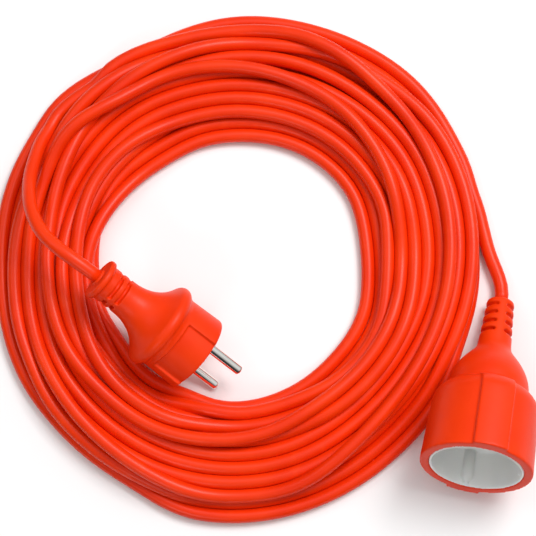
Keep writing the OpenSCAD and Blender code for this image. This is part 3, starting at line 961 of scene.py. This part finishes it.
    def settled(self, plug: "Moulding", socket: "Moulding") -> np.ndarray:
        """Lets the planned turns fall and lie on each other.

        Args:
            plug: The plug, which the cord stays clear of.
            socket: The socket, which the cord stays clear of.

        Returns:
            The line's points in millimetres, from the socket to the plug.
        """
        p, kind = self.planned()
        end = np.flatnonzero(kind < ON_SOCKET_SIDE).max()
        tail = np.flatnonzero(kind > ON_PLUG_SIDE).min()
        hold, ease = self.freedom(kind, end, tail)
        home, floor = p.copy(), self.diameter / 2 + self.floor_air
        skip = int(math.ceil(self.own_reach * self.diameter / self.step))
        last = int(self.rounds * self.round_at)
        for n in range(self.rounds):
            late = n > self.rounds * self.plug_from
            if n == last:
                # round the joins between the turns and the uncoiled stretches, then settle on
                for _ in range(self.round_times):
                    p += (self.blurred(p, self.round_passes) - p) * ease
                home, hold = home + (p - home) * ease, hold * (1 - ease)
            if n % self.search_every == 0:
                i, j = self.close_pairs(p[:-1], self.reach, skip)
                if not late:
                    # the stretch to the plug comes down on the coil only when that lies still
                    below = (i < tail + 4) & (j < tail + 4)
                    i, j = i[below], j[below]
            slow = n >= self.rounds * self.slow_from
            drop = self.fall * (max(self.slowest, 1 - n / self.rounds) if slow else 1.0)
            p[:, 2] -= drop * hold[:, 0]
            p[:, :2] += self.pull * (home[:, :2] - p[:, :2]) * hold
            for _ in range(self.passes):
                p += self.push_apart(p, i, j) * hold
                p += self.clear_of(p, socket) * hold
                if late:
                    p += self.clear_of(p, plug) * hold
                p[:, 2] = np.where(hold[:, 0] > 0, np.maximum(p[:, 2], floor), p[:, 2])
            p = self.smoothed(p, home, hold, n >= last)
            p[:, 2] = np.where(hold[:, 0] > 0, np.maximum(p[:, 2], floor), p[:, 2])
        return self.even(p + (self.blurred(p, 2) - p) * hold, self.step)


@dataclass
class Cord:
    """The whole cord, from the socket's neck to the plug's collar."""

    lay: CordLay = field(default_factory=CordLay)
    sides: int = 16

    def build(self, palette: Palette, plug: "Plug", socket: "Socket") -> bpy.types.Object:
        """Args:
            palette: The finishes.
            plug: The plug on its end.
            socket: The socket that it leaves.

        Returns:
            The cord.
        """
        points = self.lay.settled(plug, socket) * MM
        obj = piece("cord", self.tube(points))
        palette.dress(obj, Slot.CORD)
        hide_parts("cord_coil", "cord_plug_tail", "cord_socket_tail")
        return obj

    def tube(self, points: np.ndarray) -> bmesh.types.BMesh:
        """Draws a ring along the line, turned with it, and keeps the way along it in a UV map.

        Args:
            points: The cord's line, in metres.

        Returns:
            The closed tube, with u along it in metres and v round it.
        """
        bm = bmesh.new()
        along, around = (bm.verts.layers.float.new(name) for name in ("along", "around"))
        first = bmesh.ops.create_circle(bm, cap_ends=True, segments=self.sides,
                                        radius=self.lay.diameter / 2 * MM)["verts"]
        for vert in first:
            vert[around] = abs(math.atan2(vert.co.y, vert.co.x)) / math.pi
        edges = bm.edges[:]
        heading = Vector(points[1] - points[0]).normalized()
        stand = Vector((0, 0, 1)).rotation_difference(heading).to_matrix().to_4x4()
        bmesh.ops.transform(bm, matrix=Matrix.Translation(points[0]) @ stand, verts=first)
        travelled, last = 0.0, len(points) - 1
        for k in range(1, last + 1):
            made = bmesh.ops.extrude_edge_only(bm, edges=edges)["geom"]
            ring = [g for g in made if isinstance(g, bmesh.types.BMVert)]
            fresh = set(ring)
            edges = [g for g in made
                     if isinstance(g, bmesh.types.BMEdge) and fresh.issuperset(g.verts)]
            ahead = Vector(points[min(k + 1, last)] - points[k - 1]).normalized()
            swing = heading.rotation_difference(ahead).to_matrix().to_4x4()
            here, there = Vector(points[k - 1]), Vector(points[k])
            travelled += (there - here).length
            move = Matrix.Translation(there) @ swing @ Matrix.Translation(-here)
            bmesh.ops.transform(bm, matrix=move, verts=ring)
            for vert in ring:
                vert[along] = travelled
            heading = ahead
        bmesh.ops.contextual_create(bm, geom=edges)
        bmesh.ops.recalc_face_normals(bm, faces=bm.faces)
        uv = bm.loops.layers.uv.new("UVMap")
        for face in bm.faces:
            for loop in face.loops:
                loop[uv].uv = (loop.vert[along], loop.vert[around])
        return bm


# ---------------------------------------------------------------- plug


@dataclass
class Plug(Moulding):
    """The moulded two-pin plug, which leans nose down on the coil."""

    neck: Point = (-171.412, 49.7601, 38.1975)
    angles: Point = (0, 90 + 22, -36)
    roll: float = 146
    outline: tuple[tuple[float, ...], tuple[float, ...]] = (
        (0, 3, 14, 25, 33, 36, 40, 58.5, 60, 78), (10, 10, 8.6, 11, 18, 21, 20, 19, 13, 12))
    voxel: float = 0.4
    passes: int = 2
    bead: CordBead = CordBead("plug_cord_bead", 0.9)
    pieces: list[bpy.types.Object] = field(default_factory=list)

    NODES: ClassVar[dict[Slot, tuple[str, ...]]] = {
        Slot.NICKEL: ("plug_pin_left", "plug_pin_right"),
        Slot.GREY: ("plug_pin_bridge",),
        Slot.TIN: ("plug_crimp_left", "plug_crimp_right"),
        Slot.BLUE: ("plug_core_blue",),
        Slot.BROWN: ("plug_core_brown",),
        Slot.PVC: ("plug_sheath_end",),
    }

    def build(self, palette: Palette) -> None:
        """Makes the plug's pieces and dresses its CAD nodes.

        Args:
            palette: The finishes.
        """
        shell = softened("plug_shell", "plug_moulding", self.voxel, self.passes)
        self.pieces += dress_nodes(palette, self.NODES)
        self.pieces.append(palette.dress(shell, Slot.PVC))
        self.pieces.append(palette.dress(self.bead.build(self.seat), Slot.PVC))
        LOG.info("plug: %d pieces", len(self.pieces))


# ---------------------------------------------------------------- socket


@dataclass(frozen=True)
class GuideRib:
    """A half-round guide rib on the insert's wall, with a rounded nose and a tab to the mouth."""

    floor: float = 68.4
    end: float = 82.0
    tip: float = 86.0 - 0.35
    radius: float = 2.75
    tab: float = 1.05
    nose: float = 2.5
    out: float = 19.9
    steps: int = 40

    def build(self, name: str, seat: Seat, side: int) -> bpy.types.Object:
        """Makes the rib.

        Args:
            name: The piece's name.
            seat: The socket's seat.
            side: 1 for the upper wall and -1 for the lower one.

        Returns:
            The rib.
        """
        r, t, end, nose, tip = self.radius, self.tab, self.end, self.nose, self.tip
        bm = turned([(0, self.floor), (r, self.floor), (r, end), (0.94 * r, end + 0.22 * nose),
                     (0.74 * r, end + 0.52 * nose), (0.48 * r, end + 0.8 * nose), (t, end + nose),
                     (t, tip - 0.3), (0.7 * t, tip), (0, tip)], self.steps, False)
        bmesh.ops.translate(bm, vec=(0, side * self.out * MM, 0), verts=bm.verts)
        bmesh.ops.transform(bm, matrix=seat.matrix(), verts=bm.verts)
        return piece(name, bm)


@dataclass
class Socket(Moulding):
    """The moulded coupling socket with its white insert, which lies on the floor."""

    neck: Point = (13.7, 43.6, 6.12402)
    angles: Point = (90 - 19.583, 0, -11.5)
    roll: float = -5
    outline: tuple[tuple[float, ...], tuple[float, ...]] = (
        (0, 23.5, 29.5, 40, 48, 56, 86), (6.6, 7.9, 11, 17.6, 20, 26, 27.5))
    shell_voxel: float = 0.54
    insert_voxel: float = 0.45
    passes: int = 3
    bead: CordBead = CordBead("socket_cord_bead", 0.7)
    rib: GuideRib = GuideRib()

    NODES: ClassVar[dict[Slot, tuple[str, ...]]] = {
        Slot.GREY: ("socket_carrier",),
        Slot.BRASS: ("contact_left", "contact_right"),
        Slot.SPRING: ("contact_clip_left", "contact_clip_right", "shutter_spring",
                      "shutter_retainer"),
        Slot.WHITE: ("shutter_disc",),
        Slot.BLUE: ("socket_core_blue",),
        Slot.BROWN: ("socket_core_brown",),
        Slot.TIN: ("socket_crimp_left", "socket_crimp_right"),
        Slot.PVC: ("socket_sheath_end",),
    }

    def build(self, palette: Palette) -> None:
        """Makes the socket's pieces and dresses its CAD nodes.

        Args:
            palette: The finishes.
        """
        for node, name, voxel, slot in (
                ("socket_shell", "socket_moulding", self.shell_voxel, Slot.PVC),
                ("socket_cup", "socket_insert", self.insert_voxel, Slot.WHITE)):
            palette.dress(softened(node, name, voxel, self.passes), slot)
        dress_nodes(palette, self.NODES)
        palette.dress(self.bead.build(self.seat), Slot.PVC)
        for name, side in (("socket_rib_upper", 1), ("socket_rib_lower", -1)):
            palette.dress(self.rib.build(name, self.seat, side), Slot.WHITE)
        LOG.info("socket built")


# ---------------------------------------------------------------- studio


@dataclass(frozen=True)
class SoftBox:
    """One soft light."""

    name: str
    place: Point
    size: float
    power: float


@dataclass(frozen=True)
class Studio:
    """The camera, the pale floor and the soft light."""

    target: Point = (-0.095, 0.061, 0.0)
    elevation: float = 80.0
    distance: float = 0.9
    lens: float = 128.15
    sensor: float = 36.0
    floor_size: float = 6.0
    floor_gap: float = 0.0004
    floor_colour: Colour = (0.9, 0.9, 0.9)
    floor_rough: float = 0.8
    floor_shine: float = 0.2
    # The world is bright round this direction and its opposite, and dim at right angles to it.
    sky: Point = (0.28, 0.3, 0.91)
    sky_edges: Span = (0.35, 0.97)
    sky_strength: Span = (0.04, 0.95)
    boxes: tuple[SoftBox, ...] = (
        SoftBox("key", (0.45, 0.55, 1.25), 0.6, 14.0),
        SoftBox("side", (-0.9, 0.4, 1.0), 0.6, 1.6),
        SoftBox("glint", (-0.5, -0.95, 0.8), 0.4, 3.0),
    )

    def build(self) -> None:
        """Makes the camera, the light and the floor."""
        self.camera()
        self.dome()
        self.lamps()
        self.floor()
        settings = bpy.context.scene.view_settings
        settings.view_transform = "Standard"
        settings.exposure = 0.0

    @staticmethod
    def placed(name: str, data: bpy.types.ID, place: Vector, look: Vector) -> bpy.types.Object:
        """Stands a camera or a light in the set.

        Args:
            name: The object's name.
            data: The camera or light.
            place: Where it stands.
            look: The direction that it looks in.

        Returns:
            The object.
        """
        obj = bpy.data.objects.new(name, data)
        obj.location = place
        obj.rotation_mode = "QUATERNION"
        obj.rotation_quaternion = look.to_track_quat("-Z", "Y")
        bpy.context.scene.collection.objects.link(obj)
        return obj

    def camera(self) -> None:
        """Makes the camera that looks down on the set."""
        data = bpy.data.cameras.new("camera")
        data.lens, data.sensor_width = self.lens, self.sensor
        e = math.radians(self.elevation)
        back = Vector((0, -math.cos(e), math.sin(e)))
        place = Vector(self.target) + back * self.distance
        bpy.context.scene.camera = self.placed("camera", data, place, -back)

    def dome(self) -> None:
        """Makes the world's light."""
        world = bpy.data.worlds.new("studio")
        bpy.context.scene.world = world
        world.use_nodes = True
        tree = world.node_tree
        light, coords = tree.nodes["Background"], tree.nodes.new("ShaderNodeTexCoord")
        light.inputs["Color"].default_value = (1, 1, 1, 1)
        lean, height = tree.nodes.new("ShaderNodeVectorMath"), tree.nodes.new("ShaderNodeMath")
        lean.operation, height.operation = "DOT_PRODUCT", "ABSOLUTE"
        lean.inputs[1].default_value = self.sky
        tree.links.new(coords.outputs["Generated"], lean.inputs[0])
        tree.links.new(lean.outputs["Value"], height.inputs[0])
        spread = _span(tree, height.outputs["Value"], *self.sky_strength, *self.sky_edges)
        tree.links.new(spread, light.inputs["Strength"])

    def lamps(self) -> None:
        """Makes the soft boxes."""
        for box in self.boxes:
            data = bpy.data.lights.new(box.name, "AREA")
            data.energy, data.size = box.power, box.size
            place = Vector(box.place)
            self.placed(box.name, data, place, Vector(self.target) - place)

    def floor(self) -> None:
        """Makes the pale floor just under the set."""
        bm = bmesh.new()
        bmesh.ops.create_grid(bm, x_segments=2, y_segments=2, size=self.floor_size / 2)
        mesh = bpy.data.meshes.new("floor")
        bm.to_mesh(mesh)
        bm.free()
        floor = bpy.data.objects.new("floor", mesh)
        floor.location.z = -self.floor_gap
        bpy.context.scene.collection.objects.link(floor)
        paper = bpy.data.materials.new("pale_paper")
        paper.use_nodes = True
        shader = paper.node_tree.nodes["Principled BSDF"]
        shader.inputs["Base Color"].default_value = (*self.floor_colour, 1)
        shader.inputs["Roughness"].default_value = self.floor_rough
        shader.inputs["Specular IOR Level"].default_value = self.floor_shine
        mesh.materials.append(paper)


def main() -> None:
    """Builds the studio, then the plug, the cord and the socket."""
    logging.basicConfig(level=logging.INFO, format="%(name)s: %(message)s")
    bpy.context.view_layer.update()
    Studio().build()
    palette = Palette()
    plug, socket = Plug(), Socket()
    plug.build(palette)
    Cord().build(palette, plug, socket)
    socket.build(palette)


if __name__ == "__main__":
    main()
